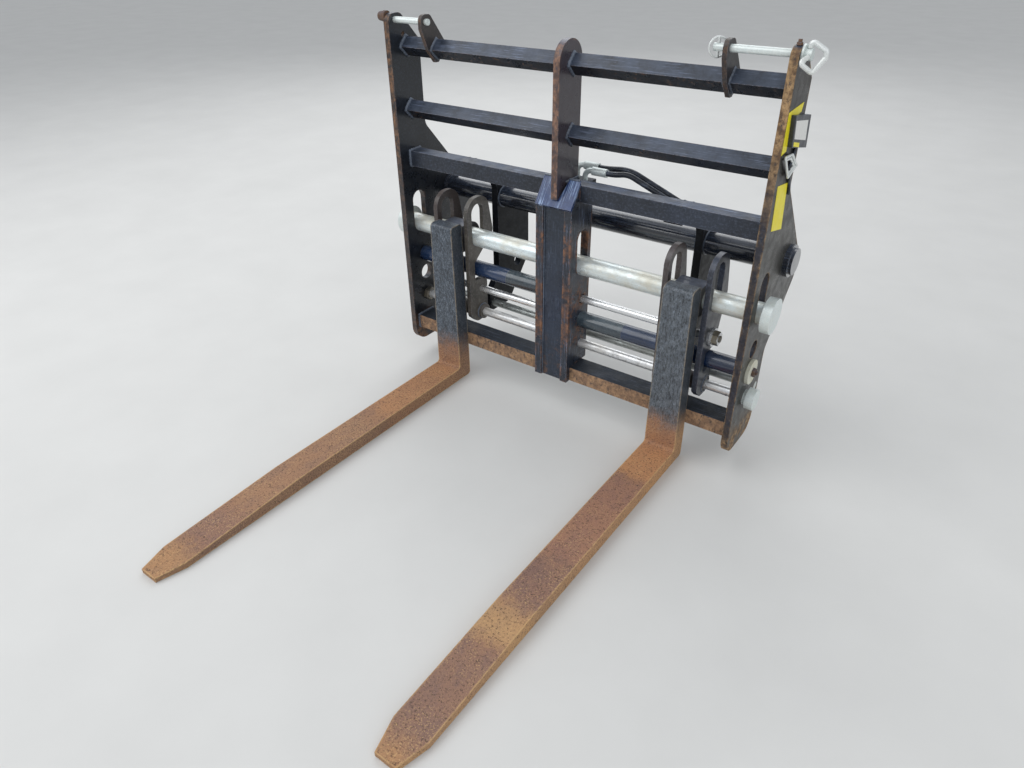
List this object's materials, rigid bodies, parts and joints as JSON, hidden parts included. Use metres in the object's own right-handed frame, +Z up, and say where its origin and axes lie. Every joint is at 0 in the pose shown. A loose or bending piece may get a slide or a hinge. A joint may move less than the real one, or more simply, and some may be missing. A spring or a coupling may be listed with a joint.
{
  "type": "telehandler fork carriage",
  "caption": "Welded carriage frame with floating pallet forks on a round shaft, a hydraulic positioner that slides the forks, and locking pins.",
  "frame": {"origin": "on the ground, under the middle of the whole object", "axes": "+X along the carriage to the pull handle's side, -Y the way the fork blades point, +Z up"},
  "size_m": [1.338, 1.6232, 1.1915],
  "materials": {
    "black_paint": "worn satin black with rust at the edges",
    "rusty_fork": "scratched black paint turning to rust",
    "bright_steel": "bright, stained",
    "chrome": "polished",
    "zinc_plate": "dull zinc",
    "hose_rubber": "matte"
  },
  "bodies": {
    "frame": {"anchor_disc_left": "zinc_plate", "anchor_disc_right": "zinc_plate", "centre_plate": "black_paint", "column_cap": "black_paint", "column_flange_left": "black_paint", "column_flange_right": "black_paint", "column_web": "black_paint", "coupler_shelf": "black_paint", "fork_shaft": "bright_steel", "guide_block": "zinc_plate", "guide_nut": "zinc_plate", "guide_rod": "chrome", "hanger_left": "black_paint", "hanger_right": "black_paint", "hook_cap_left": "black_paint", "hook_cap_right": "black_paint", "hook_tube": "black_paint", "hose_fitting_front": "zinc_plate", "hose_fitting_rear": "zinc_plate", "hose_front": "hose_rubber", "hose_rear": "hose_rubber", "left_pin": "zinc_plate", "lower_bar": "black_paint", "lower_barrel": "black_paint", "lower_gland": "black_paint", "lynch_pin": "zinc_plate", "manifold": "black_paint", "middle_bar": "black_paint", "pin_ear_left": "black_paint", "pin_ear_right": "black_paint", "pull_handle": "zinc_plate", "right_pin": "zinc_plate", "shaft_cap_left": "zinc_plate", "shaft_cap_right": "zinc_plate", "side_plate_left": "black_paint", "side_plate_right": "black_paint", "tie_tube": "black_paint", "top_bar": "black_paint", "upper_barrel": "black_paint", "upper_beam": "black_paint", "upper_gland": "black_paint"},
    "positioner_left": {"carrier_left_inner": "black_paint", "carrier_left_outer": "black_paint", "carrier_left_sleeve": "black_paint", "lower_piston_rod": "chrome"},
    "positioner_right": {"carrier_right_inner": "black_paint", "carrier_right_outer": "black_paint", "carrier_right_sleeve": "black_paint", "upper_piston_rod": "chrome"},
    "fork_left": {"fork_eye_left": "rusty_fork", "fork_left": "rusty_fork"},
    "fork_right": {"fork_eye_right": "rusty_fork", "fork_right": "rusty_fork"}
  },
  "joints": [
    {"name": "positioner_left_slide", "type": "slide", "parent": "frame", "child": "positioner_left", "axis": [1, 0, 0], "range_m": [-0.085, 0.264]},
    {"name": "positioner_right_slide", "type": "slide", "parent": "frame", "child": "positioner_right", "axis": [1, 0, 0], "range_m": [-0.275, 0.074]},
    {"name": "fork_left_swing", "type": "hinge", "parent": "positioner_left", "child": "fork_left", "pos_m": [-0.421, 0.49365, 0.515], "axis": [1, 0, 0], "range_deg": [-60, 0]},
    {"name": "fork_right_swing", "type": "hinge", "parent": "positioner_right", "child": "fork_right", "pos_m": [0.42, 0.49365, 0.515], "axis": [1, 0, 0], "range_deg": [-60, 0]}
  ]
}
